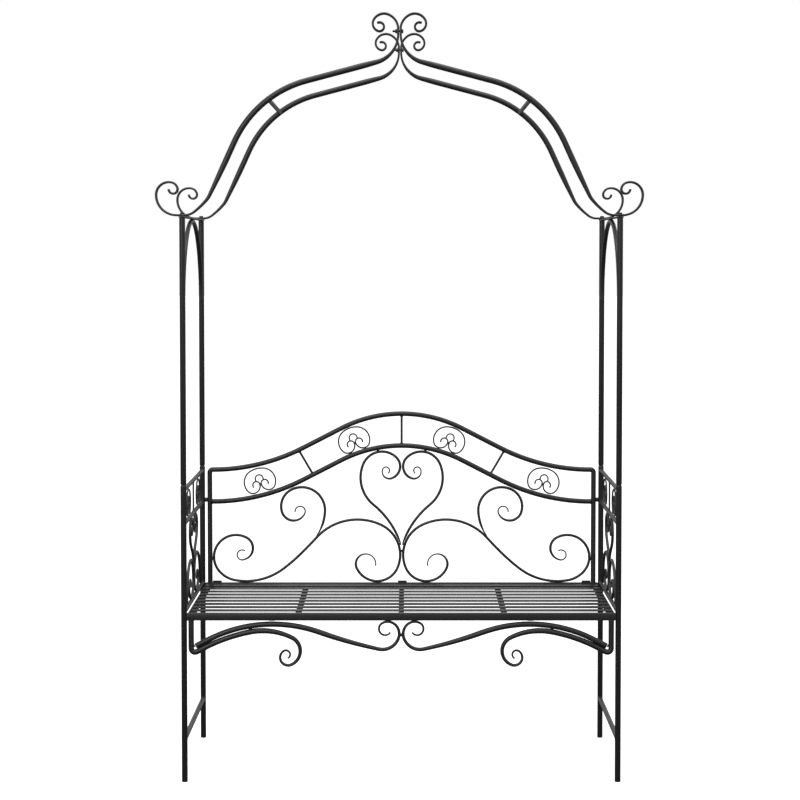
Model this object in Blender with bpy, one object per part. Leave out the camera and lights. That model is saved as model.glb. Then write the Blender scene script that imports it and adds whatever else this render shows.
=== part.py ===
"""Garden arch bench: a slatted steel bench with scrolled sides and back, under an arched roof.

Metres, +Z up. The origin is the middle of the footprint, on the ground. The sitter looks along -Y.
Outlines that are the same on both sides are traced once, in (distance outward, height).
"""
import math

import bmesh
import bpy
from mathutils import Vector

MM = 0.001
GAP = 0.0003              # left at every weld and seat between two pieces
STRAIGHT = None

# Posts
POST_X = 0.586            # middle of the footprint to the middle of a post
POST_Y = 0.242
POST_R = 0.008
POST_WALL = 0.001
JOINT_Z = 0.8065          # where the upper post plugs into the lower one
JOINT_GROOVE = 0.0035     # visible neck at that joint
SPIGOT_LENGTH = 0.040
POST_TOP = 1.525
FOOT_HEIGHT = 0.003
FOOT_PLUG = 0.018

# Side frames, each in the plane of its two posts
STRETCHER_Z = 0.116
STRETCHER_R = 0.007
SIDE_RAIL_R = 0.006
SEAT_SIDE_RAIL_Z = 0.461
ARM_LOWER_Z = 0.700
ARM_TOP_Z = 0.792
SPINDLE_R = 0.0025
ARCH_R = 0.0062
STRAP_WIDTH = 0.018
STRAP_THICK = 0.003
STRAP_REACH = 0.251

# Roof bows: round tube that is pressed flat towards both ends
BOW_R = 0.008
BOW_FLAT_THICK = 0.0062
BOW_FLAT_WIDTH = 0.019
EAVES_TAPER = 0.190       # length over which the outer flat end swells into the round tube
CROWN_TAPER = 0.135       # the same at the crown end
BOLT_FLAT = 0.008         # straight run below the apex bolt
BOLT_CLEAR = 0.020        # flat length beyond the bolt, before the taper begins
BOLT_HOLE_R = 0.0034
DRILL_REACH = 0.012
ROOF_SHIFT = -0.0045      # the four bows sit this far off the middle, towards -X
APEX_X = 0.0034
APEX_Z = 2.021
LINK_R = 0.006
LINK_X = 0.350

# Seat
SEAT_TOP = 0.4605
SEAT_RAIL_HEIGHT = 0.020
SEAT_RAIL_WIDTH = 0.015
SLAT_TOP = 0.4604
SLAT_THICK = 0.003
SLAT_WIDTH = 0.024
SLAT_PITCH = 0.0493
SLAT_COUNT = 9
SUPPORT_X = 0.280
SUPPORT_SIZE = 0.014
TABS = (-0.5425, 0.002, 0.5425)      # where the small plates stand on the rear rail
TAB_SIZE = (0.026, 0.0025, 0.0072)  # length, thickness, height

# Back
STILE_X = 0.564
STILE_R = 0.0072
STILE_BEND = 0.0085
STILE_FOOT_Z = 0.4615
BACK_CREST_Z = 0.9595
BACK_SHOULDER_Z = 0.7946
BACK_BAND = 0.094         # top rail down to lower rail
BACK_BOLT_Z = 0.706
DIVIDER_R = 0.0034

# Scrollwork
ROD_R = 0.0040
ROD_TIP_R = 0.0021
ROD_TIP_LENGTH = 0.048    # thin end of a rod
ROD_TAPER = 0.100         # from a curled end to the full rod
BUTT_TAPER = 0.030        # from a welded end to the full rod
ROSETTE_R = 0.0023
ROSETTE_REACH = 0.122     # middle of a panel to the middle of its rosette
APRON_TUBE_R = 0.0076
APRON_TIP_R = 0.0025
UPPER_TAPER = 0.36
UPPER_MIDDLE_GAP = 0.0053  # nearest the line of an upper scroll comes to the middle
UPPER_EASE_X = 0.080
LOWER_TAPER = 0.27
DROP_X = 0.567
BACK_EASE_Z = 0.530       # a scroll that is brought down to the rail it stands on keeps its shape above this
SIDE_EASE_Z = 0.520
CLASP = (0.0028, 0.0085, 0.0070)   # half sizes of the clasp between the two side scrolls
CLASP_Z = 0.513
SIDE_STEM_TOP = 0.5665

STEEL = (0.034, 0.034, 0.035, 1.0)
PLASTIC = (0.012, 0.012, 0.012, 1.0)

# Outlines: (radius in millimetres, degrees) for a bend, a left bend positive; (STRAIGHT, millimetres).
BOW_OUTER_CURL = [(STRAIGHT, 11), (53.7, 91.7), (34, 102.2), (20.5, 63.3), (11.9, 195.6)]
BOW_SHOULDER = [(STRAIGHT, 11), (-42, 37.9), (-220, 12.2), (-54.6, 13.9), (-5280, 1.7), (295, 50.9)]
BOW_TOP_CURL = [(STRAIGHT, 8), (-27.7, 10.4), (-42.4, 56.3), (-31.1, 86.6), (-20.9, 99), (-11.8, 232.4)]
BACK_CREST_BEND = (-387, 27.2)
HEART = [(-258, 31.3), (103.6, 72.9), (60, 112.2), (37.1, 117.4), (20.7, 127.5), (10.4, 216.4)]
LONG_SCROLL_OUT = [(1180, 2.6), (554, 7), (181.5, 47.5), (80.1, 39.6), (65.2, 158.6), (35.4, 141.3), (14.8, 226.3)]
LONG_SCROLL_IN = [(STRAIGHT, 15.2), (162.7, 72.3), (98.2, 87.2), (65.6, 134.1), (29.4, 215.7)]
BRANCH_SCROLL = [(-139, 27.2), (-68.2, 117.8), (-55.6, 82.5), (-36, 138), (-15, 213.6)]
ROSETTE_LOOP = [(-62.5, 19.6), (-38.2, 104.6), (-17.6, 36.9), (-21.7, 111.3), (-10.5, 210.7)]
ROSETTE_ARCH = [(STRAIGHT, 5), (11.4, 180), (STRAIGHT, 5)]
SIDE_HEART = [(-86, 31), (600, 4), (45, 40), (37, 159), (23.5, 80), (14.5, 126), (9.5, 93)]
SIDE_SCROLL_CURL = [(64, 98), (46, 65), (72, 32), (44, 43), (26.5, 125), (18.5, 71), (10, 87)]
SIDE_SCROLL_ARCH = [(-90, 70), (STRAIGHT, 49.8)]
APRON_UPPER = [(STRAIGHT, 40.3), (378, 46.8), (-1230, 7.7), (-50.4, 73.3), (-33.3, 146.3), (-17.4, 210.2)]
APRON_LOWER = [(STRAIGHT, 76.6), (-10.1, 117.1), (STRAIGHT, 26.5), (456, 16.2), (175.6, 37.7), (40.6, 130.4),
               (21.4, 166.9), (11.5, 192)]


def clear_scene():
    for item in list(bpy.data.objects):
        bpy.data.objects.remove(item, do_unlink=True)


def material(name, colour, roughness, metallic):
    mat = bpy.data.materials.new(name)
    mat.use_nodes = True
    shader = mat.node_tree.nodes["Principled BSDF"]
    shader.inputs["Base Color"].default_value = colour
    shader.inputs["Roughness"].default_value = roughness
    shader.inputs["Metallic"].default_value = metallic
    return mat


def make_object(name, mesh_or_bm, colour=STEEL, roughness=0.45, metallic=0.3):
    """Puts a mesh in the scene as one named piece with its own material."""
    if isinstance(mesh_or_bm, bmesh.types.BMesh):
        mesh = bpy.data.meshes.new(name)
        bmesh.ops.recalc_face_normals(mesh_or_bm, faces=mesh_or_bm.faces)
        mesh_or_bm.to_mesh(mesh)
        mesh_or_bm.free()
        mesh.shade_smooth()
        mesh.set_sharp_from_angle(angle=math.radians(40))
    else:
        mesh = mesh_or_bm
    piece = bpy.data.objects.new(name, mesh)
    bpy.context.scene.collection.objects.link(piece)
    if not mesh.materials:
        mesh.materials.append(material(name, colour, roughness, metallic))
    return piece


def as_guide(piece):
    piece.hide_render = True
    piece.display_type = "WIRE"
    return piece


def boolean(target, tool, operation):
    step = target.modifiers.new(operation.lower(), "BOOLEAN")
    step.operation = operation
    step.solver = "EXACT"
    step.object = as_guide(tool)


# Outlines in the plane

def turn_steps(radius, sweep, sag):
    """How many chords follow a bend with no more than sag between chord and arc."""
    widest = 2 * math.acos(max(0.0, 1 - sag / abs(radius)))
    return max(1, math.ceil(math.radians(sweep) / widest))


def trace(start, heading, steps, sag=0.0008):
    """Walks straight runs and bends from start; returns the points in metres and the last heading."""
    u, v = start
    angle = math.radians(heading)
    points = [(u, v)]
    for radius, amount in steps:
        if radius is STRAIGHT:
            u += amount * MM * math.cos(angle)
            v += amount * MM * math.sin(angle)
            points.append((u, v))
            continue
        r = radius * MM
        centre_u = u - r * math.sin(angle)
        centre_v = v + r * math.cos(angle)
        sweep = math.copysign(math.radians(amount), radius)
        count = turn_steps(r, amount, sag)
        for i in range(1, count + 1):
            a = angle + sweep * i / count
            points.append((centre_u + r * math.sin(a), centre_v - r * math.cos(a)))
        angle += sweep
        u, v = points[-1]
    return points, math.degrees(angle)


def close_with_run_and_bend(start, heading, end, end_heading):
    """The straight run and the last bend that bring a path to its end point at the end heading."""
    a = math.radians(heading)
    b = math.radians(end_heading)
    bend_u = math.sin(b) - math.sin(a)
    bend_v = math.cos(a) - math.cos(b)
    du = end[0] - start[0]
    dv = end[1] - start[1]
    det = math.cos(a) * bend_v - math.sin(a) * bend_u
    run = (du * bend_v - dv * bend_u) / det
    radius = (math.cos(a) * dv - math.sin(a) * du) / det
    return [(STRAIGHT, run / MM), (radius / MM, abs(end_heading - heading))]


def eased(values, limit, reach):
    """Lifts the lowest value to the limit, and the values above it by less and less, up to reach."""
    lowest = min(values)
    lift = limit - lowest
    return [x + lift * (max(0.0, reach - x) / (reach - lowest)) ** 2 for x in values]


def seated(path, floor, reach):
    """An outline whose lowest point is brought to the floor that it is welded on."""
    return list(zip([u for u, _ in path], eased([v for _, v in path], floor, reach)))


def cumulative(points):
    lengths = [0.0]
    for a, b in zip(points, points[1:]):
        lengths.append(lengths[-1] + math.dist(a, b))
    return lengths


# Solids

def section_offset(angle, half_thick, half_width, square):
    """A point of a section between an ellipse (square 0) and a rounded bar (square 1)."""
    power = 1 - 0.5 * square
    c = math.cos(angle)
    s = math.sin(angle)
    across = math.copysign(abs(c) ** power, c) * half_thick
    along = math.copysign(abs(s) ** power, s) * half_width
    return across, along


def same_area(sides):
    """What a circle's radius is multiplied by for a polygon of the same area."""
    return math.sqrt(2 * math.pi / (sides * math.sin(2 * math.pi / sides)))


def sweep(bm, points, normal, size, sides=6):
    """Sweeps a section along a plane path. size(s, total) gives half thickness, half width, squareness."""
    lengths = cumulative(points)
    total = lengths[-1]
    fuller = same_area(sides)
    rings = []
    for i, point in enumerate(points):
        before = (point - points[i - 1]).normalized() if i else None
        after = (points[i + 1] - point).normalized() if i + 1 < len(points) else None
        tangent = ((before or after) + (after or before)).normalized()
        mitre = 1 / max(0.5, tangent.dot(after or before))
        in_plane = normal.cross(tangent)
        half_thick, half_width, square = size(lengths[i], total)
        ring = []
        for k in range(sides):
            angle = 2 * math.pi * (k + 0.5) / sides
            across, along = section_offset(angle, half_thick * mitre * fuller, half_width * fuller, square)
            ring.append(bm.verts.new(point + in_plane * across + normal * along))
        rings.append(ring)
    for a, b in zip(rings, rings[1:]):
        for k in range(sides):
            n = (k + 1) % sides
            bm.faces.new((a[k], a[n], b[n], b[k]))
    bm.faces.new(rings[0][::-1])
    bm.faces.new(rings[-1])


def plain(radius):
    return lambda s, total: (radius, radius, 0.0)


def swell(s, taper, tip_length):
    """How far a tapered rod has grown to its full size at the distance s from its end."""
    if not taper:
        return 1.0
    return min(1.0, max(0.0, (s - tip_length) / (taper - tip_length)))


def tapered(radius, tip, start_taper, end_taper, start_tip=0.0, end_tip=0.0):
    """A round rod that thins towards its two ends; each end may have a length of constant size."""
    def size(s, total):
        grown = min(swell(s, start_taper, start_tip), swell(total - s, end_taper, end_tip))
        r = tip + (radius - tip) * grown
        return r, r, 0.0
    return size


CURLED = tapered(ROD_R, ROD_TIP_R, ROD_TAPER, ROD_TAPER, ROD_TIP_LENGTH, ROD_TIP_LENGTH)
BUTTED = tapered(ROD_R, ROD_TIP_R, BUTT_TAPER, ROD_TAPER, 0.0, ROD_TIP_LENGTH)
ONE_CURL = tapered(ROD_R, ROD_TIP_R, 0.0, ROD_TAPER, 0.0, ROD_TIP_LENGTH)


def in_front_plane(points, side, y, shift=0.0):
    """Outline points in a plane facing the front: outward becomes +X or -X."""
    return [Vector((side * u + shift, y, v)) for u, v in points]


def in_side_plane(points, x, facing):
    """Outline points in the plane of two posts: outward becomes +Y or -Y."""
    return [Vector((x, facing * u, v)) for u, v in points]


def hollow_bar(name, start, end, radius, wall, sides=12, cope=0.0, roll=0.5):
    """A straight tube, open at both ends; with cope, each end is hollowed to sit round an upright post."""
    axis = (end - start).normalized()
    up = Vector((0, 0, 1))
    across = axis.cross(up).normalized()
    bm = bmesh.new()
    loops = []
    for centre, way in ((start, 1), (end, -1)):
        for r in (radius, radius - wall):
            loop = []
            for k in range(sides):
                angle = 2 * math.pi * (k + roll) / sides
                sideways = r * math.cos(angle)
                slide = cope - math.sqrt(cope * cope - sideways * sideways) if cope else 0.0
                spot = centre + across * sideways + up * (r * math.sin(angle))
                loop.append(bm.verts.new(spot - axis * way * slide))
            loops.append(loop)
    outer_a, inner_a, outer_b, inner_b = loops
    for k in range(sides):
        n = (k + 1) % sides
        bm.faces.new((outer_a[k], outer_a[n], outer_b[n], outer_b[k]))
        bm.faces.new((inner_a[k], inner_b[k], inner_b[n], inner_a[n]))
        bm.faces.new((outer_a[k], inner_a[k], inner_a[n], outer_a[n]))
        bm.faces.new((outer_b[k], outer_b[n], inner_b[n], inner_b[k]))
    return make_object(name, bm)


def turned(bm, profile, axis, location, sides=12, closed=True):
    """Turns a profile of (radius, height[, hex]) about an axis; a hex ring is a spanner shape."""
    rings = []
    for radius, height, *hexagon in profile:
        ring = []
        for k in range(sides):
            angle = 2 * math.pi * k / sides
            r = radius * (math.cos(math.pi / 6) if hexagon and k % 2 else 1.0)
            flat = Vector((r * math.cos(angle), r * math.sin(angle), height))
            if axis == "X":
                flat = Vector((flat.z, flat.x, flat.y))
            elif axis == "Y":
                flat = Vector((flat.y, flat.z, flat.x))
            ring.append(bm.verts.new(location + flat))
        rings.append(ring)
    pairs = list(zip(rings, rings[1:]))
    if closed:
        pairs.append((rings[-1], rings[0]))
    else:
        bm.faces.new(rings[0])
        bm.faces.new(rings[-1])
    for a, b in pairs:
        for k in range(sides):
            n = (k + 1) % sides
            bm.faces.new((a[k], a[n], b[n], b[k]))


def box(bm, low, high):
    x0, y0, z0 = low
    x1, y1, z1 = high
    corners = [bm.verts.new(p) for p in ((x0, y0, z0), (x1, y0, z0), (x1, y1, z0), (x0, y1, z0),
                                         (x0, y0, z1), (x1, y0, z1), (x1, y1, z1), (x0, y1, z1))]
    for face in ((0, 3, 2, 1), (4, 5, 6, 7), (0, 1, 5, 4), (1, 2, 6, 5), (2, 3, 7, 6), (3, 0, 4, 7)):
        bm.faces.new([corners[i] for i in face])


def box_object(name, low, high):
    bm = bmesh.new()
    box(bm, low, high)
    return make_object(name, bm)


# Sides and corners that repeat

SIDES = (("left", -1), ("right", 1))
ENDS = (("front", -1), ("rear", 1))


def build_posts():
    """Four two-piece posts with plastic feet; each upper post is closed by a threaded plug."""
    inner = POST_R - POST_WALL
    spigot = inner - GAP
    for side, sx in SIDES:
        for end, ey in ENDS:
            spot = Vector((sx * POST_X, ey * POST_Y, 0))
            foot = bmesh.new()
            turned(foot, [(POST_R - 0.001, 0.0), (POST_R, 0.001), (POST_R, FOOT_HEIGHT), (spigot, FOOT_HEIGHT),
                          (spigot, FOOT_PLUG)], "Z", spot, closed=False)
            make_object(f"foot_plug_{end}_{side}", foot, PLASTIC, 0.6, 0.0)
            lower = bmesh.new()
            lower_top = JOINT_Z - JOINT_GROOVE / 2
            turned(lower, [(POST_R, FOOT_HEIGHT + GAP), (POST_R, lower_top - 0.002), (POST_R - 0.0008, lower_top),
                           (inner, lower_top), (inner, FOOT_HEIGHT + GAP)], "Z", spot)
            make_object(f"lower_post_{end}_{side}", lower)
            upper = bmesh.new()
            shoulder = JOINT_Z + JOINT_GROOVE / 2
            bore = spigot - POST_WALL
            plug_hole = 0.0034
            plug_depth = 0.012
            turned(upper, [(spigot, JOINT_Z - SPIGOT_LENGTH), (spigot, shoulder), (POST_R, shoulder + 0.002),
                           (POST_R, POST_TOP), (plug_hole, POST_TOP), (plug_hole, POST_TOP - plug_depth),
                           (bore, POST_TOP - plug_depth - 0.001), (bore, JOINT_Z - SPIGOT_LENGTH)], "Z", spot)
            make_object(f"upper_post_{end}_{side}", upper)


def build_side_rails():
    """Stretcher, seat side rail and the two arm rails between each pair of posts."""
    reach = POST_Y - POST_R - GAP
    cope = POST_R + GAP
    for side, sx in SIDES:
        x = sx * POST_X
        for name, z, radius in (("leg_stretcher", STRETCHER_Z, STRETCHER_R),
                                ("seat_side_rail", SEAT_SIDE_RAIL_Z, SIDE_RAIL_R),
                                ("arm_top_rail", ARM_TOP_Z, SIDE_RAIL_R),
                                ("arm_lower_rail", ARM_LOWER_Z, SIDE_RAIL_R)):
            rail = hollow_bar(f"{name}_{side}", Vector((x, -reach, z)), Vector((x, reach, z)), radius,
                              POST_WALL, cope=cope)
            if name == "arm_lower_rail":
                spindle = bmesh.new()
                sweep(spindle, [Vector((x, 0, ARM_LOWER_Z + SIDE_RAIL_R - 0.0006)),
                                Vector((x, 0, ARM_TOP_Z - SIDE_RAIL_R - GAP))],
                      Vector((0, 1, 0)), plain(SPINDLE_R), sides=8)
                boolean(rail, make_object(f"spindle_{side}", spindle), "UNION")


def build_arches():
    """A half-round bow between the two posts of a side, welded under the flat strap across their tops."""
    radius = POST_Y - POST_R - GAP - ARCH_R
    strap_low = POST_TOP + GAP
    crown = strap_low - ARCH_R + 0.0006
    springing = crown - radius
    for side, sx in SIDES:
        x = sx * POST_X
        path, _ = trace((radius, springing), 90, [(radius / MM, 180)], sag=0.0012)
        bow = bmesh.new()
        sweep(bow, in_side_plane(path, x, 1), Vector((1, 0, 0)), plain(ARCH_R), sides=8)
        arch = make_object(f"arch_bow_{side}", bow)
        strap = box_object(f"strap_{side}", (x - STRAP_WIDTH / 2, -STRAP_REACH, strap_low),
                           (x + STRAP_WIDTH / 2, STRAP_REACH, strap_low + STRAP_THICK))
        for end, ey in ENDS:
            drill = bmesh.new()
            turned(drill, [(BOLT_HOLE_R, POST_TOP - DRILL_REACH), (BOLT_HOLE_R, POST_TOP + DRILL_REACH)], "Z",
                   Vector((x, ey * POST_Y, 0)), closed=False)
            boolean(strap, make_object(f"strap_drill_{end}_{side}", drill), "DIFFERENCE")
        boolean(arch, strap, "UNION")


def bow_size(curl_out, curl_in):
    """Section of a roof bow: flat strip in both curls, round tube between them."""
    def size(s, total):
        t = min((s - curl_out) / EAVES_TAPER, (total - curl_in - s) / CROWN_TAPER)
        t = min(1.0, max(0.0, t))
        t = t * t * (3 - 2 * t)
        thick = BOW_FLAT_THICK / 2 + (BOW_R - BOW_FLAT_THICK / 2) * t
        width = BOW_FLAT_WIDTH / 2 + (BOW_R - BOW_FLAT_WIDTH / 2) * t
        return thick, width, 1 - t
    return size


def bow_outline():
    """Outer curl, S-shaped bow and top curl as one path, with the path lengths of the two curls."""
    low = (POST_X, POST_TOP + STRAP_THICK + 2 * GAP + BOW_FLAT_THICK / 2)
    outer, _ = trace(low, 0, BOW_OUTER_CURL)
    shoulder, heading = trace(low, 180, BOW_SHOULDER)
    apex = (APEX_X, APEX_Z)
    last = close_with_run_and_bend(shoulder[-1], heading, (APEX_X, APEX_Z - BOLT_FLAT), 90)
    crown, _ = trace(shoulder[-1], heading, last + [(STRAIGHT, BOLT_FLAT / MM)])
    top, _ = trace(apex, 90, BOW_TOP_CURL)
    path = outer[::-1] + shoulder[1:] + crown[1:] + top[1:]
    return path, cumulative(outer)[-1], cumulative(top)[-1]


def build_roof():
    """Four identical bows, the two links welded between them, and the bolts."""
    path, curl_out, curl_in = bow_outline()
    size = bow_size(curl_out + BOLT_CLEAR, curl_in + BOLT_CLEAR)
    strip_top = POST_TOP + STRAP_THICK + 2 * GAP + BOW_FLAT_THICK
    for end, ey in ENDS:
        y = ey * POST_Y
        for side, sx in SIDES:
            bm = bmesh.new()
            sweep(bm, in_front_plane(path, sx, y, ROOF_SHIFT), Vector((0, 1, 0)), size, sides=8)
            bow = make_object(f"roof_bow_{end}_{side}", bm)
            drill = bmesh.new()
            turned(drill, [(BOLT_HOLE_R, -DRILL_REACH), (BOLT_HOLE_R, DRILL_REACH)], "Z",
                   Vector((sx * POST_X, y, strip_top)), closed=False)
            boolean(bow, make_object(f"post_drill_{end}_{side}", drill), "DIFFERENCE")
            drill = bmesh.new()
            turned(drill, [(BOLT_HOLE_R, -DRILL_REACH), (BOLT_HOLE_R, DRILL_REACH)], "X",
                   Vector((sx * APEX_X + ROOF_SHIFT, y, APEX_Z)), closed=False)
            boolean(bow, make_object(f"apex_drill_{end}_{side}", drill), "DIFFERENCE")
            post_bolt(f"post_bolt_{end}_{side}", Vector((sx * POST_X, y, strip_top + GAP)))
        apex_bolt(f"apex_bolt_{end}", Vector((ROOF_SHIFT, y, APEX_Z)))
    link_z = height_at(path, LINK_X)
    for side, sx in SIDES:
        reach = POST_Y - BOW_R - GAP
        x = sx * LINK_X + ROOF_SHIFT
        hollow_bar(f"roof_link_{side}", Vector((x, -reach, link_z)), Vector((x, reach, link_z)), LINK_R,
                   POST_WALL)


def height_at(path, u):
    """Height of an outline where it crosses the distance u, on its middle stretch."""
    middle = path[len(path) // 4:]
    for a, b in zip(middle, middle[1:]):
        if (a[0] - u) * (b[0] - u) <= 0:
            return a[1] + (b[1] - a[1]) * (u - a[0]) / (b[0] - a[0])
    raise ValueError("the outline does not reach that distance")


def post_bolt(name, seat):
    """M6 hexagon bolt that screws down into the plug of an upper post."""
    bm = bmesh.new()
    turned(bm, [(0.0030, -0.0215), (0.0030, 0.0), (0.0058, 0.0, True), (0.0058, 0.0032, True),
                (0.0046, 0.0040)], "Z", seat, closed=False)
    make_object(name, bm)


def apex_bolt(name, middle):
    """M6 bolt and flanged nut that pull the left and right bows together, as one fastener."""
    face = APEX_X + BOW_FLAT_THICK / 2 + GAP
    bm = bmesh.new()
    turned(bm, [(0.0024, -0.0185), (0.0030, -0.0175), (0.0030, -face - 0.005), (0.0058, -face - 0.005, True),
                (0.0058, -face - 0.0012, True), (0.0068, -face - 0.0012), (0.0068, -face), (0.0030, -face),
                (0.0030, face), (0.0058, face, True), (0.0058, face + 0.0040, True)], "X", middle, closed=False)
    make_object(name, bm)


def build_seat():
    """A rectangular frame between the posts, and the grille of nine slats on three cross bars."""
    half_x = POST_X - POST_R - GAP
    front = POST_Y + SEAT_RAIL_WIDTH / 2
    low = SEAT_TOP - SEAT_RAIL_HEIGHT
    ledge = SLAT_TOP - SLAT_THICK - GAP
    frame = box_object("seat_frame", (-half_x, -front, low), (half_x, -front + SEAT_RAIL_WIDTH, SEAT_TOP))
    rear = box_object("rear_rail", (-half_x, front - SEAT_RAIL_WIDTH, low), (half_x, front, SEAT_TOP))
    boolean(frame, rear, "UNION")
    for side, sx in SIDES:
        inner = sx * (half_x - SEAT_RAIL_WIDTH)
        rail = box_object(f"seat_end_{side}",
                          (min(sx * half_x, inner), -front + SEAT_RAIL_WIDTH / 2, low + 0.0005),
                          (max(sx * half_x, inner), front - SEAT_RAIL_WIDTH / 2, ledge))
        boolean(frame, rail, "UNION")
    length, thick, height = TAB_SIZE
    for i, x in enumerate(TABS):
        tab = box_object(f"tab_{i}", (x - length / 2, front - SEAT_RAIL_WIDTH + MM, SEAT_TOP - MM),
                         (x + length / 2, front - SEAT_RAIL_WIDTH + MM + thick, SEAT_TOP + height))
        boolean(frame, tab, "UNION")
    slat_half = half_x - 0.002
    bottom = SLAT_TOP - SLAT_THICK
    grille = None
    for i in range(SLAT_COUNT):
        y = (i - (SLAT_COUNT - 1) / 2) * SLAT_PITCH
        slat = box_object("seat_grille" if grille is None else f"slat_{i}",
                          (-slat_half, y - SLAT_WIDTH / 2, bottom), (slat_half, y + SLAT_WIDTH / 2, SLAT_TOP))
        if grille is None:
            grille = slat
        else:
            boolean(grille, slat, "UNION")
    support_reach = front - SEAT_RAIL_WIDTH - GAP
    for i in (-1, 0, 1):
        x = i * SUPPORT_X
        support = box_object(f"support_{i + 1}",
                             (x - SUPPORT_SIZE / 2, -support_reach, bottom - SUPPORT_SIZE),
                             (x + SUPPORT_SIZE / 2, support_reach, bottom + 0.0005))
        boolean(grille, support, "UNION")


def back_rail_outline(lift=0.0):
    """Half of the back's crest line, from the middle out to where the stile's bend begins."""
    crest, heading = trace((0, BACK_CREST_Z + lift), 0, [BACK_CREST_BEND])
    end = (STILE_X - STILE_BEND, BACK_SHOULDER_Z + lift)
    last = close_with_run_and_bend(crest[-1], heading, end, 0)
    shoulder, _ = trace(crest[-1], heading, last)
    return crest + shoulder[1:]


def mirrored(half):
    """A whole outline from its outward half, left end first."""
    return [(-u, v) for u, v in half[:0:-1]] + half


def build_back():
    """Hoop of crest rail and two stiles, the lower rail with its dividers, and the bolts to the posts."""
    half = back_rail_outline()
    bend, _ = trace(half[-1], 0, [(-STILE_BEND / MM, 90)])
    half += bend[1:] + [(STILE_X, STILE_FOOT_Z)]
    hoop = bmesh.new()
    sweep(hoop, in_front_plane(mirrored(half), 1, POST_Y), Vector((0, 1, 0)), plain(STILE_R), sides=8)
    make_object("back_hoop", hoop)
    lower_half = back_rail_outline(-BACK_BAND)
    lower_half = lower_half[:-1] + [(STILE_X - STILE_R - 0.001, lower_half[-1][1])]
    rail = bmesh.new()
    sweep(rail, in_front_plane(mirrored(lower_half), 1, POST_Y), Vector((0, 1, 0)), plain(STILE_R), sides=8)
    lower = make_object("back_lower_rail", rail)
    top_under = STILE_R + 0.0012
    for name, top_u, low_u in (("middle", 0.0, 0.0), ("left", -0.299, -0.263), ("right", 0.299, 0.263)):
        top_z = height_on(back_rail_outline(), abs(top_u)) - top_under
        low_z = height_on(lower_half, abs(low_u))
        bm = bmesh.new()
        sweep(bm, [Vector((low_u, POST_Y, low_z)), Vector((top_u, POST_Y, top_z))], Vector((0, 1, 0)),
              plain(DIVIDER_R), sides=6)
        boolean(lower, make_object(f"divider_{name}", bm), "UNION")
    for side, sx in SIDES:
        back_bolt(f"back_bolt_{side}", sx)


def height_on(half, u):
    """Height of a half outline that runs outward, at the distance u."""
    for a, b in zip(half, half[1:]):
        if a[0] <= u <= b[0]:
            return a[1] + (b[1] - a[1]) * (u - a[0]) / (b[0] - a[0])
    raise ValueError("the outline does not reach that distance")


def back_bolt(name, sx):
    """Spacer sleeve with its bolt, between a rear post and a stile."""
    inner = STILE_X + STILE_R + GAP
    outer = POST_X - POST_R - GAP
    bm = bmesh.new()
    turned(bm, [(0.0065, sx * inner), (0.0065, sx * outer)], "X", Vector((0, POST_Y, BACK_BOLT_Z)),
           closed=False)
    make_object(name, bm)


def rosette_mesh():
    """Open loop with two inward curls and the small arch that stands on them, in local coordinates."""
    half, _ = trace((0, ROSETTE_CROWN), 0, ROSETTE_LOOP)
    loop = bmesh.new()
    sweep(loop, [Vector((u, 0, v)) for u, v in mirrored(half)], Vector((0, 1, 0)), plain(ROSETTE_R), sides=4)
    piece = make_object("rosette_loop", loop)
    arch_path, _ = trace((ROSETTE_ARCH[1][0] * MM, ROSETTE_ARCH_FOOT), 90, ROSETTE_ARCH)
    arch = bmesh.new()
    sweep(arch, [Vector((u, 0, v)) for u, v in arch_path], Vector((0, 1, 0)), plain(ROSETTE_R - 0.0001),
          sides=4)
    boolean(piece, make_object("rosette_arch", arch), "UNION")
    bpy.context.view_layer.update()
    graph = bpy.context.evaluated_depsgraph_get()
    mesh = bpy.data.meshes.new_from_object(piece.evaluated_get(graph), depsgraph=graph)
    for item in (piece, bpy.data.objects["rosette_arch"]):
        bpy.data.objects.remove(item, do_unlink=True)
    return mesh


ROSETTES = (("outer", 0.4183, 14.5, 0.0013), ("inner", 0.1418, 19.5, 0.0004))   # place, tilt, rise
ROSETTE_CROWN = 0.0331    # top and arch foot of the rosette's lines above its middle
ROSETTE_ARCH_FOOT = -0.0023
ARM_ROSETTE_RISE = 0.0014


def build_rosettes():
    """Eight equal rosettes: two in each half of the back's band and two in each arm panel."""
    mesh = rosette_mesh()
    for side, sx in SIDES:
        for name, u, tilt, rise in ROSETTES:
            line = back_rail_outline(-BACK_BAND / 2)
            place_rosette(mesh, f"back_rosette_{name}_{side}",
                          Vector((sx * u, POST_Y, height_on(line, u) + rise)), 0.0, sx * math.radians(tilt))
        for end, ey in ENDS:
            place_rosette(mesh, f"arm_rosette_{end}_{side}",
                          Vector((sx * POST_X, ey * ROSETTE_REACH, (ARM_TOP_Z + ARM_LOWER_Z) / 2 + ARM_ROSETTE_RISE)),
                          90.0, 0.0)


def place_rosette(mesh, name, middle, turn, tilt):
    piece = make_object(name, mesh.copy())
    piece.rotation_euler = (0.0, tilt, math.radians(turn))
    piece.location = middle
    return piece


def back_outlines():
    """Outlines of a heart half, a long scroll and a branch scroll."""
    heart, _ = trace((0.0034, 0.5770), 70.75, HEART)
    middle = (0.2595, 0.5842)
    outward, _ = trace(middle, -47, LONG_SCROLL_OUT)
    inward, _ = trace(middle, 133, LONG_SCROLL_IN)
    floor = SEAT_TOP + ROD_R + GAP
    outward = seated(outward, floor, BACK_EASE_Z)
    inward = seated(inward, floor, BACK_EASE_Z)
    branch, _ = trace((0.2441, 0.6083), 120.1, BRANCH_SCROLL)
    return heart, outward[::-1] + inward[1:], branch


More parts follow.
